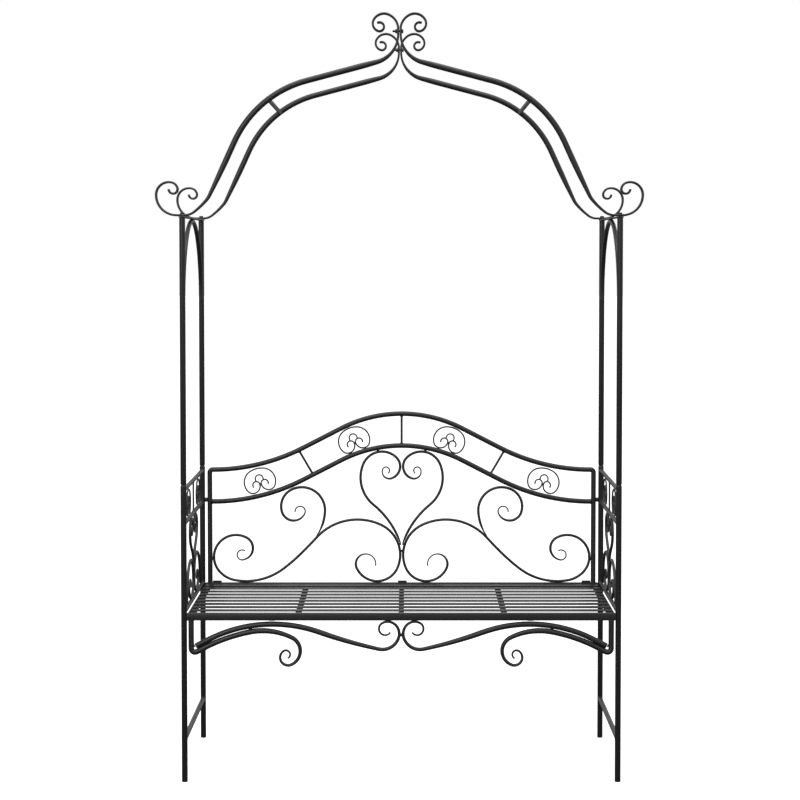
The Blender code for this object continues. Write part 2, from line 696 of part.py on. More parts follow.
def build_back_scrolls():
    """Heart halves, long scrolls and branch scrolls of the back panel."""
    heart, long_path, branch = back_outlines()
    for side, sx in SIDES:
        for name, path, size in (("back_heart", heart, BUTTED),
                                 ("long_scroll", long_path, CURLED),
                                 ("branch_scroll", branch, BUTTED)):
            bm = bmesh.new()
            sweep(bm, in_front_plane(path, sx, POST_Y), Vector((0, 1, 0)), size, sides=6)
            make_object(f"{name}_{side}", bm)


def side_outlines():
    """Outlines of a heart half and of a curled scroll in a side panel."""
    heart, _ = trace((0.0025, 0.5622), 62, SIDE_HEART)
    inward, _ = trace((0.075, 0.577), 180, SIDE_SCROLL_CURL)
    outward, _ = trace((0.075, 0.577), 0, SIDE_SCROLL_ARCH)
    inward = seated(inward, SEAT_SIDE_RAIL_Z + SIDE_RAIL_R + ROD_R + GAP, SIDE_EASE_Z)
    return heart, outward[::-1] + inward[1:]


def build_side_scrolls():
    """Heart over two curled scrolls in each side panel, on a short stem that rises from their clasp."""
    heart, scroll = side_outlines()
    for side, sx in SIDES:
        x = sx * POST_X
        work = box_object(f"side_scrollwork_{side}", (x - CLASP[0], -CLASP[1], CLASP_Z - CLASP[2]),
                          (x + CLASP[0], CLASP[1], CLASP_Z + CLASP[2]))
        bm = bmesh.new()
        sweep(bm, [Vector((x, 0, CLASP_Z)), Vector((x, 0, SIDE_STEM_TOP))], Vector((1, 0, 0)), plain(ROD_R))
        boolean(work, make_object(f"side_stem_{side}", bm), "UNION")
        for end, ey in ENDS:
            for name, path in (("heart", heart), ("scroll", scroll)):
                bm = bmesh.new()
                sweep(bm, in_side_plane(path, x, ey), Vector((1, 0, 0)), ONE_CURL, sides=6)
                boolean(work, make_object(f"side_{name}_{end}_{side}", bm), "UNION")


def build_apron_scrolls():
    """Two nested scroll tubes on each side under the front rail; the lower one carries the drop tube."""
    underside = SEAT_TOP - SEAT_RAIL_HEIGHT - GAP
    upper, _ = trace((0.5551, 0.3702), 153, APRON_UPPER)
    upper = list(zip(eased([u for u, _ in upper], UPPER_MIDDLE_GAP, UPPER_EASE_X), [v for _, v in upper]))
    lower, _ = trace((DROP_X, underside), -90, APRON_LOWER)
    for side, sx in SIDES:
        for name, path, taper in (("apron_scroll_upper", upper, UPPER_TAPER),
                                  ("apron_scroll_lower", lower, LOWER_TAPER)):
            bm = bmesh.new()
            sweep(bm, in_front_plane(path, sx, -POST_Y), Vector((0, 1, 0)),
                  tapered(APRON_TUBE_R, APRON_TIP_R, 0.0, taper), sides=8)
            make_object(f"{name}_{side}", bm)


def main():
    clear_scene()
    build_posts()
    build_side_rails()
    build_arches()
    build_roof()
    build_seat()
    build_back()
    build_rosettes()
    build_back_scrolls()
    build_side_scrolls()
    build_apron_scrolls()


main()
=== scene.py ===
import math

import bmesh
import bpy
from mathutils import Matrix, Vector


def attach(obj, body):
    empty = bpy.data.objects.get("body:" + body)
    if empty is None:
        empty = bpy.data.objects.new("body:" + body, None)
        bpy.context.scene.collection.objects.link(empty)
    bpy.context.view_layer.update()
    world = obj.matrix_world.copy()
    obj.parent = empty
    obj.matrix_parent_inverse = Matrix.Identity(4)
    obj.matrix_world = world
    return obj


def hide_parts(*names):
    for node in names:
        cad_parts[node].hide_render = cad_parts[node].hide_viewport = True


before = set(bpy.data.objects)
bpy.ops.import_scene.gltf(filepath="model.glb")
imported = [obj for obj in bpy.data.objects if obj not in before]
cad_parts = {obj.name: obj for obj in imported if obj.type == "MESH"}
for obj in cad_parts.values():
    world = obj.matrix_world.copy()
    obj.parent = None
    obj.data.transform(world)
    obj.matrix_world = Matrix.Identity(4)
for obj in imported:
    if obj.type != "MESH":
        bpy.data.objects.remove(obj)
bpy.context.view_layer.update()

MM = 0.001
STRAIGHT = None
X_AXIS = Vector((1, 0, 0))
Y_AXIS = Vector((0, 1, 0))
Z_AXIS = Vector((0, 0, 1))
SIDES = (("left", -1), ("right", 1))
ENDS = (("front", -1), ("rear", 1))

# Sizes of the CAD model
POST_X = 0.586
POST_Y = 0.242
POST_R = 0.008
WALL = 0.001
JOINT_Z = 0.8065
JOINT_GROOVE = 0.0035
POST_TOP = 1.525
FOOT_HEIGHT = 0.003
STRETCHER_Z = 0.116
STRETCHER_R = 0.007
SIDE_RAIL_R = 0.006
SEAT_SIDE_RAIL_Z = 0.461
ARM_LOWER_Z = 0.700
ARM_TOP_Z = 0.792
SPINDLE_R = 0.0025
ARCH_R = 0.0062
STRAP_WIDTH = 0.018
STRAP_THICK = 0.003
STRAP_REACH = 0.251
BOW_R = 0.008
BOW_FLAT_THICK = 0.0062
BOW_FLAT_WIDTH = 0.019
EAVES_TAPER = 0.190
CROWN_TAPER = 0.135
BOLT_CLEAR = 0.020
ROOF_SHIFT = -0.0045
BOLT_FLAT = 0.008
APEX_X = 0.0034
APEX_Z = 2.021
LINK_R = 0.006
LINK_X = 0.350
SEAT_TOP = 0.4605
SEAT_RAIL_HEIGHT = 0.020
SEAT_RAIL_WIDTH = 0.015
SLAT_TOP = 0.4604
SLAT_THICK = 0.003
SLAT_WIDTH = 0.024
SLAT_PITCH = 0.0493
SLAT_COUNT = 9
SUPPORT_X = 0.280
SUPPORT_SIZE = 0.014
TABS = (-0.5425, 0.002, 0.5425)
TAB_SIZE = (0.026, 0.0025, 0.0072)
STILE_X = 0.564
STILE_R = 0.0072
STILE_BEND = 0.0085
STILE_FOOT_Z = 0.4608
BACK_CREST_Z = 0.9595
BACK_SHOULDER_Z = 0.7946
BACK_BAND = 0.094
BACK_BOLT_Z = 0.706
DIVIDER_R = 0.0034
ROD_R = 0.0040
ROD_TIP_R = 0.0021
ROSETTE_R = 0.0023
ROSETTE_REACH = 0.122
ROSETTE_CROWN = 0.0331
ROSETTE_ARCH_FOOT = -0.0023
ARM_ROSETTE_RISE = 0.0014
ROSETTES = (("outer", 0.4183, 14.5, 0.0013), ("inner", 0.1418, 19.5, 0.0004))
APRON_TUBE_R = 0.0076
APRON_TIP_R = 0.0025
ROD_TIP_LENGTH = 0.048
ROD_TAPER = 0.100
BUTT_TAPER = 0.030
BACK_EASE_Z = 0.530
SIDE_EASE_Z = 0.520
UPPER_TAPER = 0.36
LOWER_TAPER = 0.27
UPPER_MIDDLE_GAP = 0.0053
UPPER_EASE_X = 0.080
DROP_X = 0.567
CLASP = (0.0028, 0.0085, 0.0070)
CLASP_Z = 0.513
SIDE_STEM_TOP = 0.5665
BOLT_R = 0.0030
HEX_R = 0.0058
BOW_SEAT = POST_TOP + STRAP_THICK + 0.0006
SPIGOT_FOOT = JOINT_Z - 0.040

# Slits that the weld beads cover; GAP is a little narrower than the slit in the CAD model
GAP = 0.0002
WELD_GAP = 0.0003

# Where one outline starts or meets another, in (distance outward, height)
HEART_FOOT = (0.0034, 0.5770)
LONG_MIDDLE = (0.2595, 0.5842)
BRANCH_FOOT = (0.2441, 0.6083)
SIDE_HEART_FOOT = (0.0025, 0.5622)
SIDE_SCROLL_MIDDLE = (0.075, 0.577)
APRON_FOOT = (0.5551, 0.3702)

# Fineness of the meshes: how far a chord may lie inside its arc, and the longest chords of two paths
CHORD_SAG = 0.00007
BOW_CHORD = 0.012
APRON_CHORD = 0.020

# Depths of the surface textures, and the size of the welds that run round a tube
PEEL_DEPTH = 0.00020
GRAIN_DEPTH = 0.00006
RIPPLE_PITCH = 0.0016
SADDLE_BEAD_R = 0.0011

# Outlines: (radius in millimetres, degrees), a left bend positive, or (STRAIGHT, millimetres)
BOW_OUTER_CURL = [(STRAIGHT, 11), (53.7, 91.7), (34, 102.2), (20.5, 63.3), (11.9, 195.6)]
BOW_SHOULDER = [(STRAIGHT, 11), (-42, 37.9), (-220, 12.2), (-54.6, 13.9), (-5280, 1.7), (295, 50.9)]
BOW_TOP_CURL = [(STRAIGHT, 8), (-27.7, 10.4), (-42.4, 56.3), (-31.1, 86.6), (-20.9, 99), (-11.8, 232.4)]
BACK_CREST_BEND = (-387, 27.2)
HEART = [(-258, 31.3), (103.6, 72.9), (60, 112.2), (37.1, 117.4), (20.7, 127.5), (10.4, 216.4)]
LONG_SCROLL_OUT = [(1180, 2.6), (554, 7), (181.5, 47.5), (80.1, 39.6), (65.2, 158.6), (35.4, 141.3),
                   (14.8, 226.3)]
LONG_SCROLL_IN = [(STRAIGHT, 15.2), (162.7, 72.3), (98.2, 87.2), (65.6, 134.1), (29.4, 215.7)]
BRANCH_SCROLL = [(-139, 27.2), (-68.2, 117.8), (-55.6, 82.5), (-36, 138), (-15, 213.6)]
ROSETTE_LOOP = [(-62.5, 19.6), (-38.2, 104.6), (-17.6, 36.9), (-21.7, 111.3), (-10.5, 210.7)]
ROSETTE_ARCH = [(STRAIGHT, 5), (11.4, 180), (STRAIGHT, 5)]
SIDE_HEART = [(-86, 31), (600, 4), (45, 40), (37, 159), (23.5, 80), (14.5, 126), (9.5, 93)]
SIDE_SCROLL_CURL = [(64, 98), (46, 65), (72, 32), (44, 43), (26.5, 125), (18.5, 71), (10, 87)]
SIDE_SCROLL_ARCH = [(-90, 70), (STRAIGHT, 49.8)]
APRON_UPPER = [(STRAIGHT, 40.3), (378, 46.8), (-1230, 7.7), (-50.4, 73.3), (-33.3, 146.3), (-17.4, 210.2)]
APRON_LOWER = [(STRAIGHT, 76.6), (-10.1, 117.1), (STRAIGHT, 26.5), (456, 16.2), (175.6, 37.7),
               (40.6, 130.4), (21.4, 166.9), (11.5, 192)]

# Studio: the camera stands in front; the sky gets lighter from straight down (0) to straight up (1)
CAMERA_SPOT = (0.01485, -5.45911, 1.42968)
CAMERA_DIP = 2.431
CAMERA_LENS = 87.603
CAMERA_SHIFT = (-0.00837, -0.08)
SKY_GREYS = ((0.0, 0.05), (0.42, 0.18), (0.50, 0.50), (0.62, 0.60), (1.0, 1.0))
FLOOR_GLOW = 0.62
FLOOR_HALF = 60.0
LIT_POINT = (0.0, 0.0, 1.0)


# Materials

def wire_up(tree, source, target):
    tree.links.new(source, target)


def noise_node(tree, coords, scale, detail, roughness=0.5):
    node = tree.nodes.new("ShaderNodeTexNoise")
    node.inputs["Scale"].default_value = scale
    node.inputs["Detail"].default_value = detail
    node.inputs["Roughness"].default_value = roughness
    wire_up(tree, coords, node.inputs["Vector"])
    return node.outputs["Fac"]


def map_node(tree, value, low_in, high_in, low, high):
    node = tree.nodes.new("ShaderNodeMapRange")
    for name, number in (("From Min", low_in), ("From Max", high_in), ("To Min", low), ("To Max", high)):
        node.inputs[name].default_value = number
    wire_up(tree, value, node.inputs["Value"])
    return node.outputs["Result"]


def ramp_node(tree, value, stops):
    node = tree.nodes.new("ShaderNodeValToRGB")
    ramp = node.color_ramp
    while len(ramp.elements) < len(stops):
        ramp.elements.new(0.5)
    for element, (place, colour) in zip(ramp.elements, stops):
        element.position = place
        element.color = (*colour, 1.0)
    wire_up(tree, value, node.inputs["Fac"])
    return node.outputs["Color"]


def bump_node(tree, height, strength, distance, below=None):
    node = tree.nodes.new("ShaderNodeBump")
    node.inputs["Strength"].default_value = strength
    node.inputs["Distance"].default_value = distance
    wire_up(tree, height, node.inputs["Height"])
    if below is not None:
        wire_up(tree, below, node.inputs["Normal"])
    return node.outputs["Normal"]


def coating(name, dark, light, rough_low, rough_high, peel, peel_size, grain, specular=0.5):
    """Sprayed coat: colour that drifts a little, patchy sheen, orange peel and a fine powder grain."""
    mat = bpy.data.materials.new(name)
    mat.use_nodes = True
    tree = mat.node_tree
    shader = tree.nodes["Principled BSDF"]
    shader.inputs["Metallic"].default_value = 0.0
    shader.inputs["IOR"].default_value = 1.5
    shader.inputs["Specular IOR Level"].default_value = specular
    coords = tree.nodes.new("ShaderNodeTexCoord").outputs["Object"]
    drift = noise_node(tree, coords, 9.0, 3.0)
    colour = ramp_node(tree, drift, [(0.35, dark), (0.68, light)])
    wire_up(tree, colour, shader.inputs["Base Color"])
    patches = noise_node(tree, coords, 38.0, 4.0, 0.6)
    wire_up(tree, map_node(tree, patches, 0.3, 0.7, rough_low, rough_high), shader.inputs["Roughness"])
    dimples = noise_node(tree, coords, 1.0 / peel_size, 2.0)
    powder = noise_node(tree, coords, 3400.0, 1.0)
    peeled = bump_node(tree, dimples, peel, PEEL_DEPTH)
    wire_up(tree, bump_node(tree, powder, grain, GRAIN_DEPTH, peeled), shader.inputs["Normal"])
    return mat


def plastic(name):
    """Moulded black plastic with a fine spark-eroded texture."""
    return coating(name, (0.010, 0.010, 0.010), (0.016, 0.016, 0.016), 0.52, 0.66, 0.25, 0.0012, 0.6, 0.4)


def floor_material(name):
    """Pale seamless floor whose glow hides nearly all of the shadow."""
    mat = bpy.data.materials.new(name)
    mat.use_nodes = True
    tree = mat.node_tree
    shader = tree.nodes["Principled BSDF"]
    shader.inputs["Base Color"].default_value = (0.80, 0.80, 0.80, 1.0)
    shader.inputs["Roughness"].default_value = 0.9
    shader.inputs["Specular IOR Level"].default_value = 0.0
    shader.inputs["Emission Color"].default_value = (1.0, 1.0, 1.0, 1.0)
    shader.inputs["Emission Strength"].default_value = FLOOR_GLOW
    return mat


COAT = coating("black_powder_coat", (0.0165, 0.0165, 0.0168), (0.0205, 0.0205, 0.0209), 0.32, 0.42,
               0.07, 0.0021, 0.22)
BOLT_COAT = coating("black_zinc_fastener", (0.010, 0.010, 0.011), (0.017, 0.017, 0.018), 0.26, 0.38,
                    0.10, 0.0009, 0.20, 0.6)
PLASTIC = plastic("black_moulded_plastic")


# Outlines

def turn_steps(radius, sweep_angle):
    widest = 2 * math.acos(max(0.0, 1 - CHORD_SAG / abs(radius)))
    return max(1, math.ceil(math.radians(sweep_angle) / widest))


def trace(start, heading, steps):
    """Walks straight runs and bends from start; returns the points in metres and the last heading."""
    u, v = start
    angle = math.radians(heading)
    points = [(u, v)]
    for radius, amount in steps:
        if radius is STRAIGHT:
            u += amount * MM * math.cos(angle)
            v += amount * MM * math.sin(angle)
            points.append((u, v))
            continue
        r = radius * MM
        centre_u = u - r * math.sin(angle)
        centre_v = v + r * math.cos(angle)
        turn = math.copysign(math.radians(amount), radius)
        count = turn_steps(r, amount)
        for i in range(1, count + 1):
            a = angle + turn * i / count
            points.append((centre_u + r * math.sin(a), centre_v - r * math.cos(a)))
        angle += turn
        u, v = points[-1]
    return points, math.degrees(angle)


def close_with_run_and_bend(start, heading, end, end_heading):
    """The straight run and the last bend that bring a path to its end point at the end heading."""
    a = math.radians(heading)
    b = math.radians(end_heading)
    bend_u = math.sin(b) - math.sin(a)
    bend_v = math.cos(a) - math.cos(b)
    du = end[0] - start[0]
    dv = end[1] - start[1]
    det = math.cos(a) * bend_v - math.sin(a) * bend_u
    run = (du * bend_v - dv * bend_u) / det
    radius = (math.cos(a) * dv - math.sin(a) * du) / det
    return [(STRAIGHT, run / MM), (radius / MM, abs(end_heading - heading))]


def cumulative(points):
    lengths = [0.0]
    for a, b in zip(points, points[1:]):
        lengths.append(lengths[-1] + math.dist(a, b))
    return lengths


def eased(values, limit, reach):
    """Lifts the lowest value to the limit, and the values above it by less and less, up to reach."""
    lowest = min(values)
    lift = limit - lowest
    return [x + lift * (max(0.0, reach - x) / (reach - lowest)) ** 2 for x in values]


def seated(path, floor, reach):
    """Lifts the bottom of a path onto a floor, and eases the lift out up to the height reach."""
    return list(zip([u for u, _ in path], eased([v for _, v in path], floor, reach)))


def mirrored(half):
    """The whole outline of a half that starts on the middle line."""
    return [(-u, v) for u, v in half[:0:-1]] + half


def height_on(half, u):
    """Height at the distance u of an outline that only runs outward."""
    for a, b in zip(half, half[1:]):
        if a[0] <= u <= b[0]:
            return a[1] + (b[1] - a[1]) * (u - a[0]) / (b[0] - a[0])
    raise ValueError("the outline does not reach that distance")


def height_at(path, u):
    """Height at the distance u of a roof bow, past its outer curl."""
    middle = path[len(path) // 4:]
    for a, b in zip(middle, middle[1:]):
        if (a[0] - u) * (b[0] - u) <= 0:
            return a[1] + (b[1] - a[1]) * (u - a[0]) / (b[0] - a[0])
    raise ValueError("the outline does not reach that distance")


def front_plane(points, side, y, shift=0.0):
    return [Vector((side * u + shift, y, v)) for u, v in points]


def side_plane(points, x, facing):
    return [Vector((x, facing * u, v)) for u, v in points]


# Mesh building

def finish_piece(name, bm, mat, nodes, sharp=38):
    """Turns a bmesh into a piece that rides on the frame and stands for the named CAD nodes."""
    bmesh.ops.recalc_face_normals(bm, faces=bm.faces)
    mesh = bpy.data.meshes.new(name)
    bm.to_mesh(mesh)
    bm.free()
    mesh.shade_smooth()
    mesh.set_sharp_from_angle(angle=math.radians(sharp))
    mesh.materials.append(mat)
    piece = bpy.data.objects.new(name, mesh)
    bpy.context.scene.collection.objects.link(piece)
    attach(piece, "root")
    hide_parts(*nodes)


def steel_piece(name, bm, *nodes):
    return finish_piece(name, bm, COAT, nodes)


def bolt_piece(name, bm, *nodes):
    return finish_piece(name, bm, BOLT_COAT, nodes, 28)


def section_offset(angle, half_thick, half_width, square):
    power = 1 - 0.5 * square
    c = math.cos(angle)
    s = math.sin(angle)
    return (math.copysign(abs(c) ** power, c) * half_thick, math.copysign(abs(s) ** power, s) * half_width)


def with_end_points(points, edge):
    """Adds points close to both ends of a path, for rounded ends."""
    lengths = cumulative(points)
    total = lengths[-1]
    extra = [edge * t for t in (0.07, 0.22, 0.5, 1.0)]
    wanted = sorted(set(lengths + extra + [total - e for e in extra]))
    result = []
    k = 0
    for s in wanted:
        if s < 0 or s > total:
            continue
        while k + 2 < len(points) and lengths[k + 1] < s:
            k += 1
        span = lengths[k + 1] - lengths[k]
        t = (s - lengths[k]) / span if span else 0.0
        spot = points[k].lerp(points[k + 1], t)
        if not result or (spot - result[-1]).length > 1e-5:
            result.append(spot)
    return result


def skin(bm, rings, closed=False):
    """Joins each ring of vertices to the next. A closed skin also joins the last ring to the first."""
    pairs = list(zip(rings, rings[1:]))
    if closed:
        pairs.append((rings[-1], rings[0]))
    for a, b in pairs:
        for k in range(len(a)):
            n = (k + 1) % len(a)
            bm.faces.new((a[k], a[n], b[n], b[k]))


def sweep(bm, points, normal, size, sides=16, edge=None):
    """Sweeps a section along a plane path. edge rounds both ends off over that length."""
    if edge:
        points = with_end_points(points, edge)
    lengths = cumulative(points)
    total = lengths[-1]
    count = len(points)
    rings = []
    for i, point in enumerate(points):
        before = points[i - 1] if i else None
        after = points[i + 1] if i + 1 < count else None
        back = (point - before).normalized() if before is not None else None
        ahead = (after - point).normalized() if after is not None else None
        tangent = ((back or ahead) + (ahead or back)).normalized()
        mitre = 1 / max(0.5, tangent.dot(ahead or back))
        in_plane = normal.cross(tangent)
        half_thick, half_width, square = size(lengths[i], total)
        if edge:
            t = min(lengths[i], total - lengths[i]) / edge
            if t < 1:
                shrink = max(0.30, math.sqrt(max(0.0, 1 - (1 - t) ** 2)))
                half_thick *= shrink
                half_width *= shrink
        ring = []
        for k in range(sides):
            angle = 2 * math.pi * (k + 0.5) / sides
            across, along = section_offset(angle, half_thick * mitre, half_width, square)
            ring.append(bm.verts.new(point + in_plane * across + normal * along))
        rings.append(ring)
    skin(bm, rings)
    bm.faces.new(rings[0][::-1])
    bm.faces.new(rings[-1])


def plain(radius):
    return lambda s, total: (radius, radius, 0.0)


def swell(s, taper, tip_length):
    """How far a tapered rod has grown to its full size at the distance s from its end."""
    if not taper:
        return 1.0
    return min(1.0, max(0.0, (s - tip_length) / (taper - tip_length)))


def tapered(radius, tip, start_taper, end_taper, start_tip=0.0, end_tip=0.0):
    """A round rod that thins towards its two ends; each end may have a length of constant size."""
    def size(s, total):
        grown = min(swell(s, start_taper, start_tip), swell(total - s, end_taper, end_tip))
        r = tip + (radius - tip) * grown
        return r, r, 0.0
    return size


CURLED = tapered(ROD_R, ROD_TIP_R, ROD_TAPER, ROD_TAPER, ROD_TIP_LENGTH, ROD_TIP_LENGTH)
BUTTED = tapered(ROD_R, ROD_TIP_R, BUTT_TAPER, ROD_TAPER, 0.0, ROD_TIP_LENGTH)
ONE_CURL = tapered(ROD_R, ROD_TIP_R, 0.0, ROD_TAPER, 0.0, ROD_TIP_LENGTH)


def bead(bm, a, b, radius, across=None, squash=0.75):
    """A short weld bead between two points, with the ripples of its pool."""
    run = b - a
    length = run.length
    tangent = run.normalized()
    normal = across if across is not None else (X_AXIS if abs(tangent.x) < 0.7 else Y_AXIS)
    normal = (normal - tangent * normal.dot(tangent)).normalized()
    count = max(6, int(length / 0.0005))
    points = [a + run * (i / count) for i in range(count + 1)]

    def size(s, total):
        t = s / total
        body = math.sqrt(max(0.03, 1 - (2 * t - 1) ** 4))
        ripple = 1 + 0.10 * math.sin(2 * math.pi * s / RIPPLE_PITCH)
        return radius * body * ripple * squash, radius * body * ripple, 0.0

    sweep(bm, points, normal, size, sides=8)


def front_bead(bm, side, y, a, b, radius, across=None, squash=0.75):
    """A weld bead between two points (distance outward, height) of a plane that faces the front."""
    bead(bm, Vector((side * a[0], y, a[1])), Vector((side * b[0], y, b[1])), radius, across, squash)


def saddle_bead(bm, centre, way, radius, post_radius):
    """The weld round a tube that ends against an upright post. way points from the tube into the post."""
    across = way.cross(Z_AXIS).normalized()
    count = 36
    points = []
    for k in range(count):
        angle = 2 * math.pi * k / count
        sideways = radius * math.cos(angle)
        slide = post_radius - math.sqrt(max(0.0, post_radius ** 2 - sideways ** 2))
        points.append(centre + across * sideways + Z_AXIS * (radius * math.sin(angle)) + way * slide)
    rings = []
    sides = 8
    for k, point in enumerate(points):
        outward = (point - centre - way * (point - centre).dot(way)).normalized()
        ripple = 1 + 0.12 * math.sin(k * 2.1) + 0.08 * math.sin(k * 4.7 + 1)
        ring = []
        for j in range(sides):
            a = 2 * math.pi * j / sides
            round_bead = outward * math.cos(a) + way * math.sin(a)
            ring.append(bm.verts.new(point + round_bead * SADDLE_BEAD_R * ripple))
        rings.append(ring)
    skin(bm, rings, closed=True)


def ring_bead(bm, centre, axis, major, minor=0.0010):
    """A weld ring round a bar that stands on a surface."""
    ref = X_AXIS if abs(axis.dot(X_AXIS)) < 0.7 else Y_AXIS
    u = axis.cross(ref).normalized()
    v = axis.cross(u)
    count = 28
    sides = 8
    rings = []
    for k in range(count):
        angle = 2 * math.pi * k / count
        outward = u * math.cos(angle) + v * math.sin(angle)
        ripple = 1 + 0.12 * math.sin(k * 2.4) + 0.07 * math.sin(k * 5.1)
        ring = []
        for j in range(sides):
            a = 2 * math.pi * j / sides
            ring.append(bm.verts.new(centre + outward * (major + minor * ripple * math.cos(a))
                                     + axis * (minor * ripple * math.sin(a))))
        rings.append(ring)
    skin(bm, rings, closed=True)


def hollow_bar(bm, start, end, radius, wall, cope=0.0):
    """A tube. cope is the radius of the posts that its two ends are cut to fit."""
    sides = 28
    axis = (end - start).normalized()
    across = axis.cross(Z_AXIS).normalized()
    loops = []
    for centre, way in ((start, 1), (end, -1)):
        for r in (radius, radius - wall):
            loop = []
            for k in range(sides):
                angle = 2 * math.pi * (k + 0.5) / sides
                sideways = r * math.cos(angle)
                slide = cope - math.sqrt(cope * cope - sideways * sideways) if cope else 0.0
                spot = centre + across * sideways + Z_AXIS * (r * math.sin(angle))
                loop.append(bm.verts.new(spot - axis * way * slide))
            loops.append(loop)
    outer_a, inner_a, outer_b, inner_b = loops
    for k in range(sides):
        n = (k + 1) % sides
        bm.faces.new((outer_a[k], outer_a[n], outer_b[n], outer_b[k]))
        bm.faces.new((inner_a[k], inner_b[k], inner_b[n], inner_a[n]))
        bm.faces.new((outer_a[k], inner_a[k], inner_a[n], outer_a[n]))
        bm.faces.new((outer_b[k], outer_b[n], inner_b[n], inner_b[k]))


def turned(bm, profile, axis, location, sides=32, closed=True):
    """Turns a profile of (radius, height[, hex]) about an axis; a hex ring is a spanner shape."""
    rings = []
    for radius, height, *hexagon in profile:
        ring = []
        for k in range(sides):
            angle = 2 * math.pi * k / sides
            r = radius
            if hexagon:
                r = radius * math.cos(math.pi / 6) / math.cos((angle % (math.pi / 3)) - math.pi / 6)
            flat = Vector((r * math.cos(angle), r * math.sin(angle), height))
            if axis == "X":
                flat = Vector((flat.z, flat.x, flat.y))
            elif axis == "Y":
                flat = Vector((flat.y, flat.z, flat.x))
            ring.append(bm.verts.new(location + flat))
        rings.append(ring)
    if not closed:
        bm.faces.new(rings[0])
        bm.faces.new(rings[-1])
    skin(bm, rings, closed)


def rounded_box(bm, low, high, radius):
    """A box whose edges are rounded, added to the mesh as its own shell."""
    x0, y0, z0 = low
    x1, y1, z1 = high
    corners = [bm.verts.new(p) for p in ((x0, y0, z0), (x1, y0, z0), (x1, y1, z0), (x0, y1, z0),
                                         (x0, y0, z1), (x1, y0, z1), (x1, y1, z1), (x0, y1, z1))]
    faces = []
    for face in ((0, 3, 2, 1), (4, 5, 6, 7), (0, 1, 5, 4), (1, 2, 6, 5), (2, 3, 7, 6), (3, 0, 4, 7)):
        faces.append(bm.faces.new([corners[i] for i in face]))
    edges = list({e for f in faces for e in f.edges})
    bmesh.ops.bevel(bm, geom=edges, offset=radius, segments=3, profile=0.5, affect="EDGES")


# Posts and side frames

def thread(radius, depth, start, end, pitch):
    """Profile points of a screw thread between two heights."""
    points = []
    steps = max(1, round(abs(end - start) / pitch))
    for i in range(steps):
        z = start + (end - start) * i / steps
        half = (end - start) / steps / 2
        points += [(radius - depth, z), (radius, z + half)]
    return points + [(radius - depth, end)]


def build_posts():
    for side, sx in SIDES:
        for end, ey in ENDS:
            tag = f"{end}_{side}"
            spot = Vector((sx * POST_X, ey * POST_Y, 0))
            foot = bmesh.new()
            turned(foot, [(0.0052, 0.0), (0.0066, 0.0002), (0.0076, 0.0008), (POST_R, 0.0017),
                          (POST_R, FOOT_HEIGHT - 0.0004), (POST_R - 0.0003, FOOT_HEIGHT),
                          (0.0066, FOOT_HEIGHT), (0.0066, 0.0055), (0.0062, 0.0061), (0.0066, 0.0067),
                          (0.0066, 0.0105), (0.0062, 0.0111), (0.0066, 0.0117), (0.0064, 0.018)],
                   "Z", spot, closed=False)
            finish_piece(f"foot_cap_{tag}", foot, PLASTIC, [f"foot_plug_{tag}"])
            lower = bmesh.new()
            top = JOINT_Z - JOINT_GROOVE / 2
            turned(lower, [(POST_R - 0.0003, FOOT_HEIGHT + 0.0003), (POST_R, FOOT_HEIGHT + 0.0007),
                           (POST_R, top - 0.0030), (POST_R + 0.00012, top - 0.0022),
                           (POST_R, top - 0.0013), (POST_R - 0.0003, top - 0.0006),
                           (POST_R - 0.0008, top), (POST_R - WALL, top),
                           (POST_R - WALL, FOOT_HEIGHT + 0.0003)],
                   "Z", spot, sides=36)
            steel_piece(f"post_lower_{tag}", lower, f"lower_post_{tag}")
            upper = bmesh.new()
            shoulder = JOINT_Z + JOINT_GROOVE / 2
            turned(upper, [(0.0066, SPIGOT_FOOT), (0.0067, JOINT_Z - 0.039), (0.0067, shoulder - 0.0002),
                           (POST_R - 0.0008, shoulder), (POST_R - 0.0003, shoulder + 0.0006),
                           (POST_R, shoulder + 0.0014), (POST_R, POST_TOP - 0.0006),
                           (POST_R - 0.0006, POST_TOP), (0.0034, POST_TOP), (0.0034, POST_TOP - 0.012),
                           (0.0057, POST_TOP - 0.013), (0.0057, SPIGOT_FOOT)],
                   "Z", spot, sides=36)
            steel_piece(f"post_upper_{tag}", upper, f"upper_post_{tag}")


def build_side_rails():
    reach = POST_Y - POST_R - GAP
    cope = POST_R + GAP
    for side, sx in SIDES:
        x = sx * POST_X
        for name, z, radius in (("leg_stretcher", STRETCHER_Z, STRETCHER_R),
                                ("seat_side_rail", SEAT_SIDE_RAIL_Z, SIDE_RAIL_R),
                                ("arm_top_rail", ARM_TOP_Z, SIDE_RAIL_R),
                                ("arm_lower_rail", ARM_LOWER_Z, SIDE_RAIL_R)):
            bm = bmesh.new()
            hollow_bar(bm, Vector((x, -reach, z)), Vector((x, reach, z)), radius, WALL, cope=cope)
            for ey in (-1, 1):
                saddle_bead(bm, Vector((x, ey * reach, z)), Y_AXIS * ey, radius, POST_R)
            if name == "arm_lower_rail":
                low = Vector((x, 0, ARM_LOWER_Z + SIDE_RAIL_R - 0.0006))
                high = Vector((x, 0, ARM_TOP_Z - SIDE_RAIL_R))
                sweep(bm, [low, high], Y_AXIS, plain(SPINDLE_R), sides=14)
                ring_bead(bm, low + Z_AXIS * 0.0007, Z_AXIS, SPINDLE_R + 0.0002, 0.0008)
                ring_bead(bm, high - Z_AXIS * 0.0005, Z_AXIS, SPINDLE_R + 0.0002, 0.0008)
            steel_piece(f"{name}_tube_{side}", bm, f"{name}_{side}")


